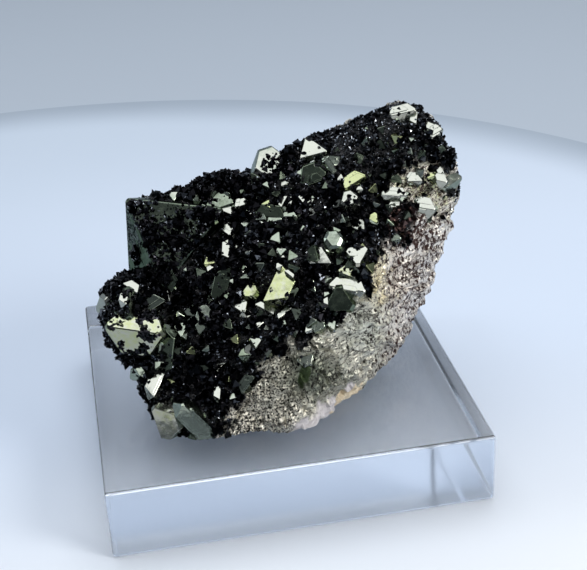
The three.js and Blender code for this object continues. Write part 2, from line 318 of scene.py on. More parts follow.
def pyriteMaterial():
    look = {
        "smoky": (0.07, 0.085, 0.066), "green": (0.14, 0.17, 0.125), "greyish": (0.25, 0.285, 0.235),
        "silver": (0.37, 0.38, 0.34), "lime": (0.34, 0.37, 0.20), "edge": (0.45, 0.5, 0.45, 1),
        "black": (0.02, 0.02, 0.024), "roughness": 0.14, "relief": 0.0003,
    }
    scale = {                                # how fine each pattern is
        "broadMottle": 300, "fineMottle": 1700, "blackGrain": 2400, "blackPatches": 430, "pits": 1100,
        "waves": 420, "fineWaves": 3000, "facets": 3600, "dull": 900,
    }
    s = newShader("pyrite")
    place, tint, cover = s.place(), s.attribute("tint"), s.attribute("cover")
    tint = tint + s.noise(place, scale["broadMottle"], 2)
    tint = tint + s.noise(place, scale["fineMottle"], 2) * 1.2 - 1.1
    # the levels go from dark to light: painted shade and painted reflection on one pyrite, with its own
    # greenish and lime hues
    colour = look["smoky"]
    for i, name in enumerate(("green", "greyish", "silver", "lime")):
        colour = s.mix(s.band(tint, i + 0.1, i + 0.9), colour, look[name])

    # black crystals grown over the faces, each grain all black or all bright
    grain = s.cells(place, scale["blackGrain"], out="Position")
    patches = s.noise(grain, scale["blackPatches"], 4, 0.6)
    black = s.band(patches + cover * 0.36, 0.735, 0.745)
    spots = s.cells(place, scale["pits"]) + s.part(s.cells(place, scale["pits"], out="Color"), "X") * 0.5
    black = s.maths("MAXIMUM", black, 1 - s.band(spots, 0.19, 0.21))
    colour = s.mix(black, colour, look["black"])

    fine = s.noise(place, scale["fineWaves"], 3)
    wave = s.noise(place, scale["waves"], 2)
    normal = s.bump(wave + fine * 0.06 - black * 0.12, look["relief"], 0.35)
    normal = s.lean(normal, s.cells(place, scale["facets"], out="Color"), black * 1.6)
    rough = look["roughness"] + s.band(s.noise(place, scale["dull"], 3), 0.45, 0.75) * 0.2
    return s.surface({"Base Color": colour, "Metallic": 1.0, "Roughness": rough, "Normal": normal,
                      "Specular Tint": look["edge"]})


def blackCrystalMaterial():
    look = {
        "black": (0.004, 0.004, 0.005), "blue": (0.042, 0.049, 0.062), "silver": (0.38, 0.41, 0.45),
        "brown": (0.085, 0.052, 0.046), "roughness": 0.08, "relief": 0.0001,
    }
    scale = {"dull": 1500, "waves": 2600}
    s = newShader("blackCrystals")
    place, tint, warm = s.place(), s.attribute("tint"), s.attribute("warm")
    # levels of one black mineral: near black ones painted shade, blue ones between, silver ones painted
    # glints; brown is its own colour
    colour = s.mix(s.band(tint, 0.48, 0.88), look["black"], look["blue"])
    colour = s.mix(s.band(tint * 0.5 + warm, 1.0, 1.3), colour, look["brown"])
    colour = s.mix(s.band(tint, 0.64, 0.95), colour, look["silver"])
    rough = look["roughness"] + s.band(s.noise(place, scale["dull"], 2), 0.4, 0.8) * 0.2
    normal = s.bump(s.noise(place, scale["waves"], 2), look["relief"], 0.4)
    return s.surface({"Base Color": colour, "Metallic": 1.0, "Roughness": rough, "Normal": normal})


layersLook = (-0.28, 0.2, 0.94)              # the way the layers of the bare stone look


def stoneMaterial():
    look = {
        "bright": (0.93, 0.88, 0.76), "grey": (0.66, 0.66, 0.58), "green": (0.05, 0.075, 0.03),
        "smooth": (0.70, 0.715, 0.64), "shade": (0.15, 0.17, 0.125), "dark": (0.015, 0.014, 0.012),
        "gold": (0.95, 0.86, 0.62), "lime": (0.80, 0.80, 0.52), "brown": (0.06, 0.03, 0.024),
        "pink": (0.95, 0.88, 0.83), "white": (0.80, 0.76, 0.78), "orange": (0.93, 0.80, 0.60),
        "crust": (0.014, 0.014, 0.016), "roughness": 0.28, "relief": 0.0006,
    }
    scale = {
        "grain": 4200, "streaks": 1500, "patches": 300, "gold": 900, "pink": 800, "lime": 900, "lines": 700,
        "cracks": 150, "pits": 3800, "longPits": 2400, "crevice": 700, "quartz": 600, "lumps": 500,
    }
    s = newShader("ore")
    place = s.place()
    crust, gold, granular, rusty, right, white, crevice, shade, dull, left, orange = (
        s.attribute(name) for name in ("crust", "gold", "granular", "rusty", "right", "white", "crevice",
                                       "shade", "dull", "left", "orange"))
    grains = s.cells(place, scale["grain"], out="Color")
    one = s.part(grains, "X")

    # layers of grains, with thin dark lines between them
    depth = s.vector("DOT_PRODUCT", place, layersLook, out=1)
    deep = s.vector("SCALE", layersLook, scale=depth)
    layered = s.vector("ADD", s.vector("SCALE", place, scale=0.4), deep)
    streaks = s.noise(layered, scale["streaks"], 4, 0.6)
    patch = s.noise(place, scale["patches"], 3)
    # lighter along streaks, patches and grains; the right share adds painted light where the stone turns to
    # the right
    light = s.band(streaks + patch + one * 0.25 + left * 0.17 + right * 0.11, 0.88, 1.28)
    colour = s.mix(light, look["grey"], look["bright"])
    colour = s.mix(s.band(gold + s.noise(place, scale["gold"], 2) * 0.6, 0.6, 1.1), colour, look["gold"])
    # pink on the right: its own pinkish tone, with painted light on faces turned to the right
    colour = s.mix(s.band(right + s.noise(place, scale["pink"], 3), 1.1, 1.4) * 0.7, colour, look["pink"])
    lime = s.mix(s.band(s.noise(place, scale["lime"], 2), 0.4, 0.6), look["lime"], look["bright"])
    colour = s.mix(granular, colour, lime)
    # painted shade over the middle of the foot around the crevice
    colour = s.mix(shade, colour, look["shade"])
    colour = s.mix(dull, colour, look["smooth"])
    lines = 1 - s.band(abs(s.noise(layered, scale["lines"], 4, 0.6) - 0.5), 0.006, 0.022)
    cracks = 1 - s.band(abs(s.noise(place, scale["cracks"], 5, 0.6) - 0.5), 0.003, 0.008)

    # pits, thick on the left and long ones on the right
    thick = left * 0.09 + granular * 0.1 - dull * 0.1
    pits = s.band(s.noise(place, scale["pits"], 3, 0.6) + thick, 0.61, 0.64)
    upright = s.vector("MULTIPLY", place, (1, 1, 0.45))
    many = right * (1 - granular) * 0.115
    longPits = s.band(s.noise(upright, scale["longPits"], 3) + many + rusty * 0.06, 0.64, 0.67)
    holes = s.maths("MAXIMUM", s.maths("MAXIMUM", pits, lines * 0.7), s.maths("MAXIMUM", cracks, longPits))
    # pits, cracks and the lines between layers painted near black, brown on the right: painted shade in
    # these hollows
    colour = s.mix(holes, colour, s.mix(right, look["dark"], look["brown"]))
    # dark green in the crevice: painted shade in it
    green = s.band(crevice + s.noise(place, scale["crevice"], 3) * 0.8, 0.8, 1.0)
    colour = s.mix(green, colour, look["green"])
    stained = s.band(orange + s.noise(place, scale["quartz"], 3) * 0.6, 0.7, 0.9)
    colour = s.mix(white, colour, s.mix(stained, look["white"], look["orange"]))
    colour = s.mix(crust, colour, look["crust"])

    height = s.noise(place, scale["lumps"], 4) + streaks * 0.5 - holes * 0.3
    normal = s.bump(height, look["relief"], 0.8)
    lean = (1 - white) * (1 - dull * 0.8) * (0.5 + left * 0.15 + crust * 0.9 - shade * 0.3)
    normal = s.lean(normal, grains, lean)
    metal = (1 - white) * (1 - dull * 0.6) * (0.6 - granular * 0.5)
    rough = look["roughness"] + holes * 0.4 + white * 0.3 + dull * 0.2 - crust * 0.08
    return s.surface({"Base Color": colour, "Metallic": metal, "Roughness": rough, "Normal": normal})


def acrylicMaterial():
    s = newShader("clearAcrylic")
    absorb = s.node("ShaderNodeVolumeAbsorption", values={"Color": (0.66, 0.76, 0.90, 1), "Density": 8.0})
    return s.surface({
        "Base Color": (1, 1, 1, 1), "Roughness": 0.09, "IOR": 1.49, "Transmission Weight": 1.0}, absorb)


random = np.random.default_rng(41)           # one row of random numbers, the same in each run


def meshFrom(bm, name):                      # a mesh in metres from a bmesh in mm
    mesh = bpy.data.meshes.new(name)
    bm.to_mesh(mesh)
    bm.free()
    mesh.transform(Matrix.Scale(mm, 4))
    return mesh


def addValues(mesh, name, values):           # one number for each point, for the material
    layer = mesh.attributes.new(name, "FLOAT", "POINT")
    layer.data.foreach_set("value", np.asarray(values, np.float32))


def finish(mesh, name, material):
    mesh.materials.append(material)
    piece = bpy.data.objects.new(name, mesh)
    bpy.context.collection.objects.link(piece)
    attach(piece, "root")
    return piece


relief = {                                   # of the bare broken stone, in mm; scales are turns per mm
    "lumps": 0.65, "lumpScale": 0.3,
    "grains": 0.12, "grainScale": 1.25,
    "ledges": 0.6, "ledgeSpacing": 3.1, "ledgeWander": 1.6,
    "cracks": 0.6, "crackScale": 0.2, "crackWidth": 0.035, "crackShift": (7, 3, 1),
    "crustLumps": 0.5,
}


def roughness(p, crusted):                   # mm the surface is raised at a point given in mm
    v = Vector(p)
    broad = noise.fractal(v * relief["lumpScale"], 0.8, 2.0, 3)
    fine = noise.fractal(v * relief["grainScale"], 0.9, 2.0, 3)
    layer = (v.dot(Vector(layersLook)) + relief["ledgeWander"] * broad) / relief["ledgeSpacing"]
    ledge = (layer - math.floor(layer)) ** 3
    line = abs(noise.noise(v * relief["crackScale"] + Vector(relief["crackShift"])))
    crack = max(0, 1 - line / relief["crackWidth"])
    bare = relief["lumps"] * broad + relief["grains"] * fine + relief["ledges"] * (ledge - 0.4)
    return (bare - relief["cracks"] * crack) * (1 - crusted) + relief["crustLumps"] * broad * crusted


crustEdge = {                                # where the crust of crystals ends on the stone
    "tongue": ((6.8, 11.5), 5, 1.5),         # it reaches lower here: place, spread and mm
    "wander": 2.2,                           # mm that its edge wanders
    "soft": (-0.4, 0.6),                     # mm inside the edge where it starts and where it is full
    "facing": (0.28, 12),                    # least share of the face's way that it keeps, and how sharply
    "leftSide": (12, 8, 0.35),               # it reaches round the left side from here, over so many mm
    "granular": (0.4, 0.35, 0.6),            # it ends at the granular patch: wander, start and end
    "gap": ((29, 27), (10, 16)),             # and around this place
    "gapEdge": (0.2, 0.36, 0.52),
}

# where the bare stone changes colour, with painted shade at the shade entry: a place on the display face,
# how far around it, and how strongly
stoneSpots = {
    "gold": ((21.7, 20.5), (11, 22), 1),
    "granular": ((28.4, 33), (17, 6), 1.5),
    "rusty": ((27.4, 27), (5, 5), 1),
    "shade": ((12.5, 8), (34, 18), 1),
    "dull": ((19.4, 14.4), (9, 7), 1.4),
}
crevice = {"at": (11.6, 8.2), "spread": (0.8, 5), "lean": 0.3, "from": 8}
stoneEnds = {"right": (9, 18), "rightLooks": (0.7, -0.7, 0), "turned": (0.0, 0.6), "left": (-1.5, 3)}
quartz = {                                   # the strip at the foot: its ends along X, and its top
    "start": (-0.5, 0.5), "end": (10.6, 11), "top": (11.6, 11.8), "rise": 0.08,
    "wander": 1.2, "jagged": 0.7,
    "orangeStart": (4.6, 5.6), "orangeRise": 0.3, "orangeTop": (-9.8, -9.0),
}


def alongRays(directions):                   # where rays from the stone's centre leave the stone
    centre = np.array(stone["centre"])
    low, high = np.zeros(len(directions)), np.full(len(directions), stone["longestRay"])
    for i in range(stone["halvings"]):
        middle = (low + high) / 2
        points = centre + directions * middle[:, None]
        inside = np.maximum(stoneField(points), stone["footLevel"] - points[:, 2]) < 0
        low, high = np.where(inside, middle, low), np.where(inside, high, middle)
    return centre + directions * low[:, None]


def stoneShares(points, looks):              # how much of each finish the stone has at its points
    a, b, _ = readOn(face, points)
    x, y, z = points.T
    broad, fine = stone["finishWaves"]
    wander = np.array([noise.noise(Vector(p) * broad) for p in points])
    jagged = np.array([noise.noise(Vector(p) * fine) for p in points])
    shares = {name: np.minimum(strength * spot(a, b, at, spread), 1)
              for name, (at, spread, strength) in stoneSpots.items()}
    leaned = a - crevice["lean"] * (b - crevice["from"])
    shares["crevice"] = spot(leaned, b, crevice["at"], crevice["spread"])
    # the right side, only where it turns to the right: there the stone is painted lighter and pinker as
    # painted light, and gets long pits and brown hollows
    turnedRight = smooth(looks @ np.array(stoneEnds["rightLooks"]), *stoneEnds["turned"])
    shares["right"] = smooth(x, *stoneEnds["right"]) * turnedRight
    shares["left"] = 1 - smooth(x, *stoneEnds["left"])

    # the crust, which is missing at the granular patch and at a gap above the right side
    at, spread, lower = crustEdge["tongue"]
    room = crustRoom(points) + lower * roundSpot(a, b, at, spread)
    start, width, further = crustEdge["leftSide"]
    facing = looks @ face["out"] + further * np.clip(-x - start, 0, width) / width
    least, sharpness = crustEdge["facing"]
    inside = np.minimum(room + crustEdge["wander"] * wander, sharpness * (facing - least))
    crust = smooth(inside, *crustEdge["soft"])
    loose, start, end = crustEdge["granular"]
    crust *= 1 - smooth(shares["granular"] + loose * wander, start, end)
    loose, start, end = crustEdge["gapEdge"]
    shares["crust"] = crust * (1 - smooth(spot(a, b, *crustEdge["gap"]) + loose * wander, start, end))

    # the white strip along the foot, orange at its right end
    top = z + quartz["wander"] * wander + quartz["jagged"] * jagged - quartz["rise"] * x
    strip = smooth(x, *quartz["start"]) * (1 - smooth(x, *quartz["end"])) * (y < 0)
    shares["white"] = strip * (1 - smooth(top, *quartz["top"]))
    stained = smooth(x * quartz["orangeRise"] + wander - z, *quartz["orangeTop"])
    shares["orange"] = smooth(x, *quartz["orangeStart"]) * stained
    return shares


def makeStone():
    bm = bmesh.new()
    bmesh.ops.create_icosphere(bm, subdivisions=stone["fineness"], radius=1)
    points = alongRays(np.array([v.co[:] for v in bm.verts]))
    for v, p in zip(bm.verts, points):
        v.co = p
    bm.normal_update()
    shares = stoneShares(points, np.array([v.normal[:] for v in bm.verts]))
    onFoot = points[:, 2] < stone["footLevel"] + stone["footMargin"]
    lowest = (*nearCorner[:2], stone["footLevel"])
    for v, p, crust, foot in zip(bm.verts, points, shares["crust"], onFoot):
        if not foot:                         # room is left at the top for the crystals on it
            highest = farCorner - stone["cover"] - stone["crustCover"] * crust
            v.co = np.clip(v.co + v.normal * roughness(p, crust), lowest, highest)
    mesh = meshFrom(bm, "stone")
    for name, values in shares.items():
        addValues(mesh, name, values)
    piece = finish(mesh, "stone", stoneMaterial())
    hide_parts("specimen")
    return piece, shares["crust"]


coated = 9                                   # mm up a crystal that is black all over its broad face
rimmed = 7                                   # and of one that keeps a rim at its upper left

# where the middle of a crystal's broad face lies across and up the display face and how high it stands
# out of the stone, size from middle to corner, turn and tilt of that face, how far its corner is spun from
# pointing up, how far out the trimmed corners reach, how much longer it is across from that corner, how
# many mm up it the black crystals have crept, its colour level (smoky 0, green 1, greyish 2, silver 3, lime
# 4), which is the pyrite's own hue with painted reflection and shade in how dark or light it is, and the
# bevel of its edges
pyriteCrystals = [
    (-5.5, 27.2, 1, 9.4, 10, 38, 51, 0.96, 0, coated, 0.5, 0.014),
    (-10.2, 31.2, 1.5, 1.1, 10, 56, 30, 0.85, 0.7, 0.1, 2.5, 0.04),
    (-5.2, 32.6, 0.5, 0.9, 10, 56, 60, 0.9, 0.4, 0.2, 2.5, 0.04),
    (-6.2, 21.2, 0.5, 1.2, 20, 30, 305, 0.9, 2.2, 0.2, 0.6, 0.02),
    (-5.1, 20, 0.4, 0.5, 10, 56, 305, 0.9, 0.6, 0.2, 2.5, 0.02),
    (-12.1, 17.6, 0.4, 3.4, 45, 30, 110, 0.85, 0, coated, 1, 0.03),
    (-10.6, 20, 0.5, 1, 10, 62, 320, 0.9, 1.2, 0.2, 3, 0.03),
    (-11.4, 18.4, 0.9, 1, 10, 62, 80, 0.9, 0.8, 0.1, 3, 0.03),
    (-7.3, 19, 0.3, 0.7, 10, 62, 20, 0.9, 0, 0.2, 3, 0.02),
    (-8, 17.5, 0.5, 1.3, 20, 32, 35, 0.9, 1.4, 0.2, 2, 0.02),
    (-9.9, 15.3, 0.9, 3.8, 16, 65, 351, 0.85, 0.8, 0.7, 3.5, 0.03),
    (-15, 17.6, 0.6, 2.6, 65, 5, 0, 0.85, 0.3, 0.2, 3, 0.03),
    (-13.4, 15, 0.4, 0.9, 20, 62, 0, 0.9, 0.3, 0.1, 4, 0.03),
    (-6.6, 14.5, 0.3, 1.3, 15, 42, 45, 0.85, 0, 0.2, 2, 0.03),
    (-4.4, 14.3, 0.3, 1.2, 10, 50, 180, 0.9, 0, 0.2, 2, 0.02),
    (-3.6, 16.2, 0.3, 1.2, 15, 40, 330, 0.9, 1.8, 0.2, 2, 0.02),
    (-1.2, 16.3, 0.3, 1.4, 15, 46, 20, 0.85, 0.6, 0.4, 2, 0.03),
    (-1.7, 14.2, 0.3, 1.2, 5, 42, 45, 0.8, 0, 0.2, 2, 0.03),
    (1, 17.7, 0.2, 0.8, 10, 62, 180, 0.9, 0, 0.3, 3, 0.02),
    (1, 21, 0.3, 0.95, 10, 40, 30, 0.8, 0.2, 0.2, 2, 0.02),
    (-0.4, 22.1, 0.2, 0.6, 10, 62, 40, 0.9, 0.4, 0.2, 3, 0.02),
    (1.3, 19.5, 0.3, 1.4, 20, 30, 80, 0.9, 2.4, 0.3, 1, 0.02),
    (-7.6, 7.8, 0.6, 1.6, 20, 58, 75, 0.9, 1.5, 0.3, 3, 0.02),
    (-6.6, 2, 1.1, 2.9, 30, 11, 290, 0.85, 0.5, -0.3, 3.2, 0.02),
    (-2.2, 1.6, 1.3, 1.8, 0, 0, 125, 0.85, 3, -0.3, 2, 0.02),
    (-6.4, 11.3, 0.4, 1.5, 40, 20, 270, 0.9, 2.6, 0.3, 1, 0.02),
    (-9.2, 9, 0.2, 2.6, 30, 35, 55, 0.85, 0, coated, 1, 0.02),
    (-10.6, 8.6, 0.2, 1.6, 60, 5, 20, 0.85, 0.4, 0.3, 2, 0.03),
    (0.8, 9.9, 0.2, 0.8, 10, 45, 0, 0.85, 0.2, 0.2, 3, 0.02),
    (0.4, 9.1, 0.2, 0.7, 10, 58, 60, 0.9, 0.5, 0.2, 3, 0.02),
    (0.4, 6.1, 0.3, 0.75, 15, 60, 90, 0.9, 1.6, 0.2, 3, 0.02),
    (4.5, 11.3, 0.3, 0.8, 10, 42, 90, 0.8, 0.5, 0.2, 3, 0.02),
    (4, 7, 0.3, 1.2, 25, 35, 60, 0.85, 1, 0.2, 2, 0.02),
    (8.6, 19.4, 0.9, 2.4, 20, 50, 252, 0.95, 0.95, 0.3, 3.7, 0.012),
    (8.7, 21.8, 1.1, 0.6, 5, 62, 20, 0.9, 0.2, 0.2, 3, 0.03),
    (10.1, 20.7, 1.2, 0.4, 5, 62, 310, 0.9, 2.6, 0.2, 3, 0.03),
    (6.8, 16.6, 0.8, 0.7, 10, 62, 325, 0.9, 2.8, 0.1, 3, 0.03),
    (9.2, 15.9, 0.35, 0.55, 10, 60, 40, 0.9, 2.8, 0.2, 3, 0.03),
    (4.8, 18.9, 0.7, 1.8, 20, 49, 0, 0.7, 0, 0.1, 3.8, 0.04),
    (3.4, 17.3, 0.3, 1.3, 10, 60, 320, 0.85, 0.8, 0.3, 3, 0.03),
    (4.6, 16, 0.2, 0.7, 10, 60, 45, 0.85, 0.2, 0.2, 3, 0.02),
    (6, 14.6, 0.2, 0.7, 10, 60, 45, 0.85, 0.4, 0.2, 3, 0.02),
    (6.6, 15.6, 0.2, 1.5, 20, 30, 0, 0.85, 0, 0.3, 1, 0.02),
    (7.6, 29.6, 0.35, 1.6, 10, 32, 350, 0.8, 1.2, 0.2, 1, 0.03),
    (7.9, 28.6, 0.4, 0.7, 15, 48, 15, 0.85, 2.2, 0.1, 2, 0.05),
    (10.1, 29.2, 0.4, 0.6, 15, 48, 0, 0.85, 2, 0.1, 2, 0.05),
    (9.3, 31.1, 0.4, 0.5, 10, 62, 65, 0.9, 2.6, 0.2, 3, 0.03),
    (10.4, 31.2, 0.4, 0.4, 10, 62, 70, 0.9, 2.4, 0.2, 3, 0.03),
    (11.7, 31.4, 0.4, 0.4, 10, 62, 300, 0.9, 2.4, 0.2, 3, 0.03),
    (13, 30.9, 0.3, 0.6, 10, 62, 60, 0.9, 0.8, 0.3, 3, 0.03),
    (9.5, 33.6, 0.3, 0.7, 10, 62, 30, 0.9, 0.3, 0.2, 3, 0.03),
    (-1.8, 29.2, 0.5, 2.2, 20, 38, 100, 0.85, 0.5, 0.3, 2, 0.02),
    (0.6, 31.6, 0.5, 2.2, 15, 46, 20, 0.85, 0.6, 0.5, 1.4, 0.03),
    (1.9, 30.9, 0.5, 1.2, 5, 52, 330, 0.9, 1, 0.2, 3, 0.02),
    (3.6, 31.2, 0.4, 1.1, 10, 62, 20, 0.85, 0.4, 0.3, 3, 0.03),
    (1.9, 32.6, 0.3, 0.8, 10, 60, 100, 0.85, 0.4, 0.2, 3, 0.02),
    (4.7, 29.9, 0.3, 0.5, 10, 62, 320, 0.9, 1, 0.2, 3, 0.02),
    (6.6, 28.4, 0.3, 0.7, 10, 62, 300, 0.9, 0.3, 0.2, 3, 0.02),
    (2, 27.8, 0.45, 1.15, 10, 62, 75, 0.85, 0.6, 0.1, 3, 0.03),
    (1.8, 24.8, 0.45, 0.95, 10, 62, 88, 0.85, 1.9, 0.1, 3, 0.03),
    (15.9, 25.2, 1.1, 2.8, 5, 46, 0, 0.62, 0, 0.1, 2, 0.1),
    (14.1, 22.9, 0.5, 2, 15, 46, 0, 0.9, 0, 0.15, 3, 0.02),
    (12.9, 23.4, 0.3, 1.8, 40, 35, 0, 0.85, 0, 0.2, 1, 0.02),
    (8.9, 23.9, 0.3, 0.7, 10, 45, 90, 0.85, 0.3, 0.2, 3, 0.02),
    (9.2, 23.2, 0.25, 0.4, 10, 62, 0, 0.9, 0, 0.2, 3, 0.02),
    (6.3, 26.9, 0.25, 0.5, 10, 62, 90, 0.9, 0.4, 0.2, 3, 0.02),
    (4.2, 21.9, 0.3, 0.5, 10, 55, 60, 0.9, 1.6, 0.2, 3, 0.02),
    (4.1, 20.9, 0.3, 0.9, 15, 45, 0, 0.85, 0.4, 0.3, 2, 0.02),
    (18.9, 23.4, 0.4, 2.3, 8, 60, 60, 0.85, 0.1, 0.2, 3, 0.02),
    (18.2, 22, 0.2, 1.2, 10, 35, 0, 0.85, 0.5, 0.1, 1, 0.02),
    (17.6, 21.1, 0.35, 1.2, 5, 50, 330, 0.85, 0.8, 0.15, 3.5, 0.03),
    (18.4, 20.3, 0.3, 0.7, 10, 62, 340, 0.85, 0.6, 0.15, 3, 0.03),
    (17.5, 19.3, 1.1, 1.5, 8, 58, 345, 0.85, 2, -0.1, 3.2, 0.05),
    (16.4, 17.2, 0.7, 3, 12, 25, 0, 0.8, 0, 0.3, 1, 0.006),
    (14.7, 17.3, 0.3, 0.5, 10, 62, 90, 0.9, 1, 0.2, 3, 0.02),
    (13.2, 38.5, 0.7, 2.8, 10, 60, 15, 0.95, 0, 0.9, 3, 0.02),
    (16.2, 36.1, 0.4, 1.8, -25, 48, 160, 0.85, 0.3, 0.3, 2, 0.05),
    (13.2, 34.6, 0.4, 2, 15, 30, 20, 0.85, 0.6, 0.3, 1, 0.02),
    (7.7, 36.9, 1.8, 4.5, 15, 50, 20, 0.7, 0, rimmed, 2.5, 0.02),
    (25.6, 43.6, 0.5, 1.5, 12, 62, 15, 0.85, 1.2, 0.3, 3, 0.04),
    (27.2, 42.6, 0.4, 0.9, 10, 62, 80, 0.85, 1.2, 0.2, 3, 0.03),
    (29.4, 41.3, 0.3, 1, 15, 62, 150, 0.85, 0.6, 0.15, 3, 0.03),
    (29.9, 40.6, 0.35, 1.3, 10, 52, 30, 0.8, 0.3, 0.15, 3, 0.05),
    (30.2, 35, 0.8, 1.25, 5, 62, 97, 0.85, 2.3, -0.1, 3, 0.03),
    (31.8, 34.8, 0.6, 2.3, -10, 42, 20, 0.85, 0.2, 0.1, 2.4, 0.03),
    (26.8, 33.8, 0.5, 1.4, 12, 56, 0, 0.85, 0.2, 0.1, 2.8, 0.04),
    (29, 34.2, 0.2, 0.6, 30, 50, 30, 0.85, 0.6, 0.1, 3.9, 0.04),
    (24.1, 31.9, 0.5, 1.25, 8, 60, 350, 0.85, 1.5, 0.1, 3, 0.04),
    (24, 30.4, 0.4, 1.1, 8, 60, 0, 0.8, 0.2, 0.1, 3, 0.03),
    (27.4, 30.4, 0.55, 1.5, 10, 62, 345, 0.85, 1.7, 0.2, 3, 0.03),
    (18.7, 33.7, 0.45, 1.4, 15, 50, 35, 0.85, 1.2, 0.2, 4, 0.04),
    (18.1, 31, 1, 2.2, 12, 50, 15, 0.7, 0, rimmed, 2.8, 0.02),
    (19.5, 32.5, 0.3, 0.5, 10, 62, 0, 0.9, 0.5, 0.2, 3, 0.02),
    (16.8, 30.4, 0.2, 1, 10, 30, 0, 0.85, 0.6, 0.2, 3, 0.03),
    (21.3, 28.6, 0.35, 1, 10, 48, 90, 0.85, 0.4, 0.15, 4, 0.03),
    (19.3, 27.4, 0.3, 1.1, 10, 45, 90, 0.85, 0.5, 0.2, 3, 0.03),
    (24, 25.8, 0.25, 0.9, 10, 42, 10, 0.8, 0.4, 0.2, 2, 0.03),
    (11.8, 9.8, 0.3, 1.2, 20, 42, 200, 0.85, 0.6, -0.5, 2.4, 0.03),
    (13.6, 14, 0.4, 1.1, 15, 42, 30, 0.85, 0.2, 0.1, 2, 0.03),
    (15.4, 14.3, 0.4, 0.9, 10, 52, 80, 0.85, 0.3, 0.1, 2.4, 0.03),
    (12.3, 13.7, 0.35, 0.7, 10, 60, 20, 0.85, 0.3, 0.1, 3, 0.03),
]

smallPyrite = {
    "count": 1700, "middle": (9, 24), "spacing": 1.15, "start": 1,
    "size": (0.35, 1.3), "cut": 0.9, "edge": 0.03, "creep": 0.32,
    "height": (0.2, 0.1),                    # how high the broad face stands: mm, and of the size
    "turn": (12, 22), "tilt": (42, 20), "spin": 90,
    "room": 0.5, "outlineRoom": 1.2,         # mm kept from the bare edge and from the outline
    "patchScale": 0.28, "patch": -0.2,       # they grow where this noise is higher
    # colour levels as in the listed crystals: own hue with painted reflection and shade
    "tintsAndSheens": (0, 0.4, 0.5, 0.8, 1, 1.2, 1.3, 1.6, 2, 2, 2.3, 3, 4),
}

pyrite = {
    "steps": 3,                              # smaller crystals grown into a large one, the same way round
    "stepped": (1.0, 2.1),                   # sizes of the crystals that have them
    "stepSize": (0.4, 0.75),
    "stepOut": 0.42,                         # how far from the middle they stand, of the size
    "stepLevel": 0.06,                       # how unevenly their faces lie, of the size
    "blackest": 0.6,                         # most black painted on a crystal under the black ones
    "skin": 0.03,                            # how much larger it counts where black crystals keep off it
    "flat": 0.02,                            # faces that meet at less than this are one
}
boxRoom = 0.01                               # mm kept from the CAD box
overFace = 2.0                               # mm over the display face where crystals are counted in or out


def cutBehind(bm, at, looks):                # cuts off what lies beyond a plane and closes the cut
    geometry = bm.verts[:] + bm.edges[:] + bm.faces[:]
    cut = bmesh.ops.bisect_plane(bm, geom=geometry, plane_co=at, plane_no=looks, clear_outer=True)
    edges = [e for e in cut["geom_cut"] if isinstance(e, bmesh.types.BMEdge)]
    if edges:
        bmesh.ops.holes_fill(bm, edges=edges, sides=0)


# a face of an octahedron: the way across it, up to its corner, and out of it
octahedronFace = [Vector(way).normalized() for way in ((0, -1, 1), (2, -1, -1), (1, 1, 1))]


def octahedron(size, cut, long, edge):
    bm = bmesh.new()
    bmesh.ops.create_uvsphere(bm, u_segments=4, v_segments=2, radius=size)
    if cut < 1:                              # the corners are trimmed
        for axis in ((1, 0, 0), (0, 1, 0), (0, 0, 1)):
            for way in (1, -1):
                looks = Vector(axis) * way
                cutBehind(bm, looks * size * cut, looks)
    if long > 0:                             # the hull of the shape at both ends of its long way
        half = octahedronFace[0] * size * long / 2
        copy = bmesh.ops.duplicate(bm, geom=bm.verts[:] + bm.edges[:] + bm.faces[:])
        other = [v for v in copy["geom"] if isinstance(v, bmesh.types.BMVert)]
        bmesh.ops.translate(bm, verts=bm.verts[:], vec=half)
        bmesh.ops.translate(bm, verts=other, vec=-2 * half)
        bmesh.ops.delete(bm, geom=bm.faces[:], context="FACES_ONLY")
        bmesh.ops.delete(bm, geom=bm.edges[:], context="EDGES_FACES")
        hull = bmesh.ops.convex_hull(bm, input=bm.verts[:])
        spare = set(hull["geom_interior"] + hull["geom_unused"])
        inside = [v for v in spare if isinstance(v, bmesh.types.BMVert)]
        bmesh.ops.delete(bm, geom=inside, context="VERTS")
        bmesh.ops.dissolve_limit(bm, angle_limit=pyrite["flat"], verts=bm.verts[:], edges=bm.edges[:])
    bmesh.ops.bevel(
        bm, geom=bm.edges[:], offset=size * edge, segments=1, profile=0.5, material=-1, affect="EDGES")
    return bm


crystals = []                                # every pyrite crystal placed


def turned(turn, tilt, spin):                # turns an octahedron so that one face leans as asked
    plane = leaningPlane(turn, tilt)
    leaning = Matrix([plane[name] for name in ("across", "up", "out")]).transposed()
    return leaning @ Matrix.Rotation(math.radians(spin), 3, "Z") @ Matrix(octahedronFace)


def placeCrystal(a, b, height, size, turn, tilt, spin, cut, long, creep, tint, edge):
    looks = leaningPlane(turn, tilt)["out"]
    middle = surfaceUnder(a, b) + face["out"] * height - looks * size / math.sqrt(3)
    rotation = turned(turn, tilt, spin)
    crystals.append({"middle": middle, "rotation": rotation, "size": size, "cut": cut, "long": long,
                     "creep": creep, "tint": tint, "edge": edge, "looks": looks})


def growSteps():                             # smaller crystals in the large ones, turned alike
    low, high = pyrite["stepped"]
    out = octahedronFace[2]
    for crystal in [large for large in crystals if low < large["size"] < high]:
        for i in range(pyrite["steps"]):
            size = crystal["size"] * random.uniform(*pyrite["stepSize"])
            way = Vector(random.normal(size=3)).normalized()
            way -= way.dot(out) * out
            level = (crystal["size"] - size) / math.sqrt(3) + pyrite["stepLevel"] * random.normal() * size
            shift = crystal["rotation"] @ (way * crystal["size"] * pyrite["stepOut"] + out * level)
            crystals.append({**crystal, "middle": crystal["middle"] + np.array(shift), "size": size})


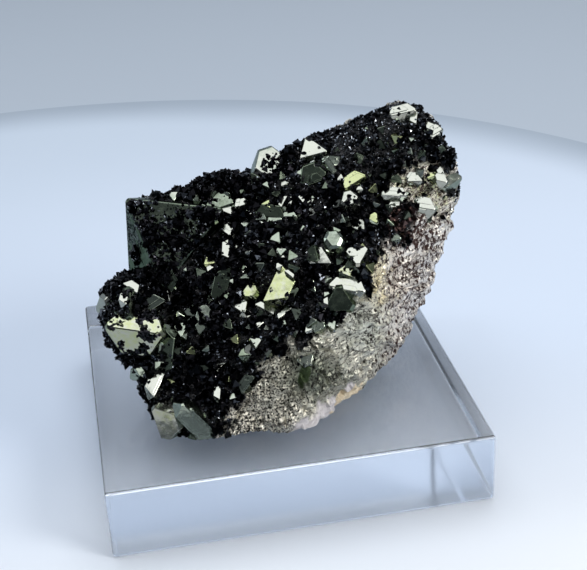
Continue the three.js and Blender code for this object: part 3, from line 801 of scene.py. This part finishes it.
def scatterSmall():                          # small ones, in patches over the display face
    low, high = smallPyrite["size"]
    height, more = smallPyrite["height"]
    turn, turnSwing = smallPyrite["turn"]
    tilt, tiltSwing = smallPyrite["tilt"]
    for i in range(smallPyrite["count"]):
        a, b = spiral(i, smallPyrite["middle"], smallPyrite["spacing"], smallPyrite["start"])
        swing = random.normal(size=3)
        size = random.uniform(low, high)
        at = placeOn(face, a, b, overFace)
        x, y, _ = readOn(outlineView, at)
        onFace = crustRoom(at) > smallPyrite["room"] and outlineDistance(x, y) < -smallPyrite["outlineRoom"]
        if onFace and noise.noise(Vector(at) * smallPyrite["patchScale"]) > smallPyrite["patch"]:
            placeCrystal(a, b, height + more * size, size, turn + turnSwing * swing[0],
                         tilt + tiltSwing * swing[1], smallPyrite["spin"] * swing[2], smallPyrite["cut"], 0,
                         smallPyrite["creep"], random.choice(smallPyrite["tintsAndSheens"]), smallPyrite["edge"])


def makePyrite():
    joined = bmesh.new()
    layers = {name: joined.verts.layers.float.new(name) for name in ("tint", "cover", "owner")}
    for i, crystal in enumerate(crystals):
        bm = octahedron(crystal["size"], crystal["cut"], crystal["long"], crystal["edge"])
        single = bpy.data.meshes.new("crystal")
        bm.to_mesh(single)
        bm.free()
        single.transform(Matrix.Translation(crystal["middle"]) @ crystal["rotation"].to_4x4())
        before = len(joined.verts)
        joined.from_mesh(single)
        joined.verts.ensure_lookup_table()
        for v in joined.verts[before:]:
            v[layers["tint"]], v[layers["owner"]] = crystal["tint"], i
            painted = 0 if crystal["creep"] == rimmed else crystal["creep"]
            v[layers["cover"]] = min(painted, pyrite["blackest"])
            v.co = np.clip(v.co, nearCorner + boxRoom, farCorner - boxRoom)
        bpy.data.meshes.remove(single)
    cutBehind(joined, Vector((0, 0, stone["footLevel"])), Vector((0, 0, -1)))
    bmesh.ops.recalc_face_normals(joined, faces=joined.faces[:])
    piece = finish(meshFrom(joined, "pyriteCrystals"), "pyriteCrystals", pyriteMaterial())
    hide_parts("specimen")
    return piece


blackLumps = {                               # the larger black crystals under the crust
    "count": 150, "middle": (9, 23), "spacing": 2.3, "size": (1.6, 0.5), "bevel": 0.12,
    "sunk": 0.5,                             # how deep they sit, of the size
    "shrunk": 0.95,                          # how large they are made, of the size
    "turn": (12, 60), "tilt": (40, 35), "spin": 61,
    "room": 0.3, "outlineRoom": 1,
}


def makeLumps(material):
    joined = bmesh.new()
    mean, spread = blackLumps["size"]
    turn, turnSwing = blackLumps["turn"]
    tilt, tiltSwing = blackLumps["tilt"]
    for i in range(blackLumps["count"]):     # sines of the number stand in for chance, as in the solids
        a, b = spiral(i, blackLumps["middle"], blackLumps["spacing"])
        x, y, _ = readOn(outlineView, placeOn(face, a, b, overFace))
        room = crustRoom(placeOn(face, a, b))
        if room < blackLumps["room"] or outlineDistance(x, y) > -blackLumps["outlineRoom"]:
            continue
        size = mean + spread * math.sin(i * 3.1)
        turns = turned(turn + turnSwing * math.sin(i * 2.9), tilt + tiltSwing * math.sin(i * 4.3),
                       i * blackLumps["spin"])
        middle = surfaceUnder(a, b) - face["out"] * blackLumps["sunk"] * size
        made = bmesh.ops.create_uvsphere(
            joined, u_segments=4, v_segments=2, radius=size * blackLumps["shrunk"])
        place = Matrix.Translation(middle) @ turns.to_4x4()
        bmesh.ops.transform(joined, matrix=place, verts=made["verts"])
    bmesh.ops.bevel(joined, geom=joined.edges[:], offset=blackLumps["bevel"], segments=1, profile=0.5,
                    material=-1, affect="EDGES")
    mesh = meshFrom(joined, "blackLumps")
    addValues(mesh, "crust", np.ones(len(mesh.vertices)))
    piece = finish(mesh, "blackLumps", material)
    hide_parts("specimen")
    return piece


blackCrystals = {
    "tried": {"crust": 24000, "lumps": 4000, "pyrite": 18000},
    "size": (0.10, 0.6),                     # mm from middle to corner, before they are clumped
    "mostlySmall": 3,                        # the higher, the fewer large ones
    "clumps": (0.45, 0.9),                   # coarser and finer places: turns per mm, and how much
    "finer": 0.4,                            # how much smaller they are at the upper right
    "fineZone": (0.35, (24, 32), (10, 18)),  # slope of its lower edge, where it starts up and across
    "reach": 1.16,                           # how far a corner may be from the middle, of the size
    "raised": {"crust": 0.25, "lumps": 0.2, "pyrite": 0.1},    # how far they stand out, of the size
    "buried": {"lumps": -0.2, "pyrite": -0.3},                 # mm under the stone where there are none
    "bright": (0.55, 0.3, (0.16, 0.34)),     # more bright ones, painted glints, where fine, and how large ones are dimmed
    "warm": ((25, 28), 24, 1.1),             # brown ones: place, spread and strength
    "wander": 0.7,                           # mm that they creep further or less from place to place
    "wanderWaves": (0.5, 1.7, 0.7),          # broad and fine, in turns per mm, and the fine ones' share
    "broadFace": 0.9,                        # cosine between its way and that of a part that belongs to it
    "onSides": 0.1,                          # mm that they creep up the sides of a crystal
    "offSides": -0.5,                        # and up those of a coated or rimmed one
    "rimFill": (0.36, 0.1),                  # black patch of a rimmed one: radius and shift, of the size
    "moreOften": (6.0, 0.6),                 # share on coated and rimmed crystals, and on others
    "blotch": (-19.5, 3.1, 0.5),             # on the large crystal's left side: across, up, radius
    "blotchShape": (0.6, 0.2),               # share that height counts, and how ragged its edge is
}


def crystalShape(kind):                      # one small crystal of size 1: its points and triangles
    bm = bmesh.new()
    if kind == "tetrahedron":
        bmesh.ops.create_cone(bm, segments=3, radius1=0.94, radius2=0, depth=1.33, cap_ends=True)
    else:
        bmesh.ops.create_uvsphere(bm, u_segments=4, v_segments=2, radius=1)
    if kind == "cut":
        cutBehind(bm, Vector((0, 0, 0.5)), Vector((0, 0, 1)))
    bmesh.ops.triangulate(bm, faces=bm.faces[:])
    points = np.array([v.co[:] for v in bm.verts])
    triangles = np.array([[v.index for v in f.verts] for f in bm.faces])
    bm.free()
    return points, triangles


def turnsFor(count):                         # random rotation matrices
    q = random.normal(size=(count, 4))
    w, x, y, z = (q / np.linalg.norm(q, axis=1)[:, None]).T
    return np.stack([
        1 - 2 * (y * y + z * z), 2 * (x * y - z * w), 2 * (x * z + y * w),
        2 * (x * y + z * w), 1 - 2 * (x * x + z * z), 2 * (y * z - x * w),
        2 * (x * z - y * w), 2 * (y * z + x * w), 1 - 2 * (x * x + y * y)], axis=1).reshape(-1, 3, 3)


def samplesOn(mesh, weights, count):         # random points on a mesh, in mm, with the way its faces look
    corners = np.array([v.co[:] for v in mesh.vertices]) / mm
    mesh.calc_loop_triangles()
    triangles = np.array([t.vertices[:] for t in mesh.loop_triangles])
    p, q, r = (corners[triangles[:, i]] for i in range(3))
    cross = np.cross(q - p, r - p)
    area = np.linalg.norm(cross, axis=1)
    share = area if weights is None else area * weights[triangles].mean(axis=1)
    pick = random.choice(len(triangles), count, p=share / share.sum())
    u, v = random.random(count), random.random(count)
    flip = u + v > 1
    u, v = np.where(flip, 1 - u, u), np.where(flip, 1 - v, v)
    at = p[pick] + u[:, None] * (q - p)[pick] + v[:, None] * (r - p)[pick]
    return at, cross[pick] / area[pick][:, None], triangles[pick, 0]


def pyriteDistance(points):                  # mm outside the nearest pyrite face, negative inside it
    nearest = np.full(len(points), 1e9)
    longWay = np.array(octahedronFace[0])
    for crystal in crystals:
        size, half = crystal["size"], crystal["long"] * crystal["size"] / 2
        local = (points - np.array(crystal["middle"])) @ np.array(crystal["rotation"])
        local -= np.clip(local @ longWay, -half, half)[:, None] * longWay
        outside = (np.abs(local).sum(axis=1) - size) / math.sqrt(3) - pyrite["skin"] * size
        nearest = np.minimum(nearest, outside)
    return nearest


def fineGrained(points):                     # 1 at the upper right of the face, where the crust is finer
    a, b, _ = readOn(face, points)
    slope, up, across = blackCrystals["fineZone"]
    return smooth(b - slope * a, *up) * smooth(a, *across)


def joinedMesh(name, centres, sizes):        # one mesh of small crystals of three kinds
    kinds = [crystalShape(kind) for kind in ("tetrahedron", "octahedron", "cut")]
    choice = random.integers(0, 3, len(centres))
    # brighter levels are painted glints: more of them where the crust is fine, fewer on large crystals
    more, dimmed, large = blackCrystals["bright"]
    brightest = 1 - dimmed * smooth(sizes, *large)
    tintsAndSheens = random.random(len(centres)) ** (1 - more * fineGrained(centres)) * brightest
    allPoints, allTriangles, allTintsAndSheens, start = [], [], [], 0
    for k, (points, triangles) in enumerate(kinds):
        mine = np.flatnonzero(choice == k)
        shapes = np.einsum("nij,vj->nvi", turnsFor(len(mine)), points)
        placed = shapes * sizes[mine][:, None, None] + centres[mine][:, None]
        firsts = start + np.arange(len(mine)) * len(points)
        allPoints.append(placed.reshape(-1, 3))
        allTriangles.append((triangles[None] + firsts[:, None, None]).reshape(-1, 3))
        allTintsAndSheens.append(np.repeat(tintsAndSheens[mine], len(points)))
        start += len(mine) * len(points)
    points = np.concatenate(allPoints)
    mesh = bpy.data.meshes.new(name)
    mesh.from_pydata((points * mm).tolist(), [], np.concatenate(allTriangles).tolist())
    a, b, _ = readOn(face, points)
    at, spread, strength = blackCrystals["warm"]
    addValues(mesh, "tint", np.concatenate(allTintsAndSheens))
    addValues(mesh, "warm", strength * roundSpot(a, b, at, spread))
    return mesh


def crystalsOn(kind, piece, name, material, weights, wanted):
    at, looks, corner = samplesOn(piece.data, weights, blackCrystals["tried"][kind])
    keep = wanted(at, looks, corner)
    at, looks = at[keep], looks[keep]
    scale, clumped = blackCrystals["clumps"]
    clumps = np.array([noise.noise(Vector(p) * scale) for p in at])
    low, high = blackCrystals["size"]
    sizes = low + (high - low) * random.random(len(at)) ** blackCrystals["mostlySmall"]
    sizes = sizes * (1 - blackCrystals["finer"] * fineGrained(at)) * (1 + clumped * clumps)
    room = blackCrystals["reach"] * sizes[:, None] + boxRoom
    raised = sizes * blackCrystals["raised"][kind]
    centres = np.clip(at + looks * raised[:, None], nearCorner + room, farCorner - room)
    made = finish(joinedMesh(name, centres, sizes), name, material)
    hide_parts("specimen")
    return made


def makeBlackCrystals(stonePiece, crust, lumps, pyritePiece):
    material = blackCrystalMaterial()
    owner = np.array([value.value for value in pyritePiece.data.attributes["owner"].data]).astype(int)
    creep = np.array([crystal["creep"] for crystal in crystals])
    looks = np.array([crystal["looks"] for crystal in crystals])
    size = np.array([crystal["size"] for crystal in crystals])
    middle = np.array([np.array(crystal["middle"]) for crystal in crystals])
    fillRadius, fillShift = blackCrystals["rimFill"]
    downRight = face["across"] - face["up"]
    filledAt = middle + size[:, None] * (looks / math.sqrt(3) + fillShift * downRight)
    special = creep >= rimmed

    def offPyrite(at, facing, corner):
        return pyriteDistance(at) > 0

    def onLump(at, facing, corner):
        return (pyriteDistance(at) > 0) & (stoneField(at) > blackCrystals["buried"]["lumps"])

    def crept(at, facing, corner):
        mine = owner[corner]
        broad, fine, share = blackCrystals["wanderWaves"]
        patch = np.array([noise.noise(Vector(p) * broad) + share * noise.noise(Vector(p) * fine)
                          for p in at])
        above = stoneField(at)
        onBroadFace = (facing * looks[mine]).sum(axis=1) > blackCrystals["broadFace"]
        sides = np.where(special[mine], blackCrystals["offSides"], blackCrystals["onSides"])
        reach = np.where(onBroadFace, creep[mine], sides)
        filled = np.linalg.norm(at - filledAt[mine], axis=1) < fillRadius * size[mine]
        reach = np.where((creep[mine] == rimmed) & ~filled, -1, reach)
        across, up, radius = blackCrystals["blotch"]
        taller, ragged = blackCrystals["blotchShape"]
        x, y, _ = readOn(outlineView, at)
        blotched = (mine == 0) & (np.hypot(x - across, taller * (y - up)) < radius + ragged * patch)
        reach = np.where(blotched, coated, reach)
        higher = reach + blackCrystals["wander"] * patch > above
        return higher & (above > blackCrystals["buried"]["pyrite"])

    often, seldom = blackCrystals["moreOften"]
    weights = np.where(special[owner], often, seldom)
    return [
        crystalsOn("crust", stonePiece, "blackCrust", material, crust, offPyrite),
        crystalsOn("lumps", lumps, "blackOnLumps", material, None, onLump),
        crystalsOn("pyrite", pyritePiece, "blackOnPyrite", material, weights, crept),
    ]


block = {"width": 50, "height": 10, "edge": 0.5, "edgeSteps": 5}


def makeBlock():
    bm = bmesh.new()
    bmesh.ops.create_cube(bm, size=1)
    bmesh.ops.scale(bm, vec=(block["width"], block["width"], block["height"]), verts=bm.verts[:])
    bmesh.ops.translate(bm, vec=(0, 0, block["height"] / 2), verts=bm.verts[:])
    bmesh.ops.bevel(bm, geom=bm.edges[:], offset=block["edge"], segments=block["edgeSteps"], profile=0.5,
                    material=-1, affect="EDGES")
    piece = finish(meshFrom(bm, "acrylicBlock"), "acrylicBlock", acrylicMaterial())
    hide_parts("acrylic_block")
    return piece


table = {"radius": 145, "middle": (-33, 4), "thickness": 4, "gap": 0.05, "sides": 200}
ground = {"size": 3000, "level": -30, "colour": (0.475, 0.535, 0.615, 1)}


def tableMaterial():
    look = {
        "near": (1.0, 0.97, 0.92), "middle": (0.64, 0.72, 0.85), "far": (0.56, 0.64, 0.75),
        "rim": (0.34, 0.40, 0.48), "mottle": 12,
        "toMiddle": (-0.08, 0.03), "toFar": (0.06, 0.15), "toRim": (0.132, 0.151),    # in metres
    }
    s = newShader("tableTop")
    place = s.place()
    mottle = s.noise(place, look["mottle"], 2)
    far = s.part(place, "Y") + mottle * 0.03
    middle = Vector((*table["middle"], 0)) * mm
    rim = s.vector("DISTANCE", place, middle, out=1) + mottle * 0.01
    # lighter and warmer at the front, darker and bluer to the back and darkest in a band at the rim:
    # painted fall-off of light and painted shade on a pale table
    colour = s.mix(s.band(far, *look["toMiddle"]), look["near"], look["middle"])
    colour = s.mix(s.band(far, *look["toFar"]), colour, look["far"])
    colour = s.mix(s.band(rim, *look["toRim"]), colour, look["rim"])
    return s.surface({"Base Color": colour, "Roughness": 0.5})


def makeStage():
    grey = newShader("backgroundGrey").surface({"Base Color": ground["colour"], "Roughness": 0.9})
    disc = bmesh.new()
    bmesh.ops.create_cone(disc, segments=table["sides"], radius1=table["radius"], radius2=table["radius"],
                          depth=table["thickness"], cap_ends=True)
    middle = (*table["middle"], -table["gap"] - table["thickness"] / 2)
    bmesh.ops.translate(disc, verts=disc.verts[:], vec=middle)
    floor = bmesh.new()
    bmesh.ops.create_grid(floor, x_segments=1, y_segments=1, size=ground["size"])
    bmesh.ops.translate(floor, verts=floor.verts[:], vec=(0, 0, ground["level"]))
    for name, built, material in (("tableTop", disc, tableMaterial()), ("ground", floor, grey)):
        mesh = meshFrom(built, name)
        mesh.materials.append(material)
        made = bpy.data.objects.new(name, mesh)
        bpy.context.collection.objects.link(made)


lights = {                                   # in metres and watts
    "overhead": {"at": (0.02, 0.06, 0.55), "size": 0.70, "power": 1.95, "colour": (0.98, 0.99, 1.0)},
    "window": {"at": (-0.55, 0.12, 0.32), "size": 0.30, "power": 0.6, "colour": (0.86, 0.93, 1.0)},
    "lamp": {"at": (0.36, -0.30, 0.30), "size": 0.22, "power": 1.5, "colour": (1.0, 0.98, 0.94)},
    # the room's colours from floor to ceiling
    "room": ((0.0, (0.34, 0.37, 0.41)), (0.5, (0.20, 0.22, 0.25)), (0.7, (0.07, 0.08, 0.09)),
             (0.85, (0.20, 0.22, 0.24)), (1.0, (0.6, 0.63, 0.66))),
    "behind": (0.42, 0.47, 0.54),            # and of its wall behind the object
    "aim": (0, 0, 0.02),
}


def addLight(name, at, size, power, colour):
    data = bpy.data.lights.new(name, "AREA")
    data.shape, data.size, data.energy, data.color = "DISK", size, power, colour
    lamp = bpy.data.objects.new(name, data)
    lamp.location = at
    lamp.rotation_euler = (Vector(lights["aim"]) - Vector(at)).to_track_quat("-Z", "Y").to_euler()
    bpy.context.collection.objects.link(lamp)


def makeLight():
    world = bpy.data.worlds.new("room")
    bpy.context.scene.world = world
    s = Shader(world)
    way = s.node("ShaderNodeTexCoord", out="Generated")
    colour = s.node("ShaderNodeValToRGB", {"stops": lights["room"]}, {"Fac": s.part(way, "Z") * 0.5 + 0.5})
    colour = s.mix(s.band(s.part(way, "Y"), 0.1, 0.6), colour, lights["behind"])
    light = s.node("ShaderNodeBackground", values={"Color": colour, "Strength": 1.0})
    s.node("ShaderNodeOutputWorld", values={"Surface": light})
    for name in ("overhead", "window", "lamp"):
        lamp = lights[name]
        addLight(name, lamp["at"], lamp["size"], lamp["power"], lamp["colour"])
    bpy.context.scene.view_settings.view_transform = "Standard"


camera = {
    "at": (-22.363, -156.679, 105.106),
    "right": (0.98114272, -0.18806865, -0.0445999),
    "up": (0.12603559, 0.44756824, 0.8853235),
    "focal": 1300.0,                         # in pixels
    "pictureWidth": 587,
    "sensorWidth": 36,
}


def makeCamera():
    data = bpy.data.cameras.new("camera")
    data.sensor_width = camera["sensorWidth"]
    data.lens = camera["focal"] * camera["sensorWidth"] / camera["pictureWidth"]
    data.clip_start, data.clip_end = 0.01, 10
    right, up = Vector(camera["right"]), Vector(camera["up"])
    turn = Matrix((right, up, right.cross(up))).transposed().to_4x4()
    made = bpy.data.objects.new("camera", data)
    made.matrix_world = Matrix.Translation(Vector(camera["at"]) * mm) @ turn
    bpy.context.collection.objects.link(made)
    bpy.context.scene.camera = made


makeCamera()
makeLight()
makeStage()
print("stage, light and camera set")

for crystal in pyriteCrystals:
    placeCrystal(*crystal)
growSteps()
scatterSmall()
print("crystals placed:", len(pyriteCrystals), "by hand,", len(crystals), "with steps and small ones")

stonePiece, crustShare = makeStone()
print("stone:", len(stonePiece.data.polygons), "faces")
lumpPiece = makeLumps(stonePiece.data.materials[0])
print("black lumps:", len(lumpPiece.data.polygons), "faces")
pyritePiece = makePyrite()
print("pyrite:", len(pyritePiece.data.polygons), "faces")
for piece in makeBlackCrystals(stonePiece, crustShare, lumpPiece, pyritePiece):
    print(piece.name + ":", len(piece.data.polygons), "faces")

blockPiece = makeBlock()
print("block:", len(blockPiece.data.polygons), "faces")
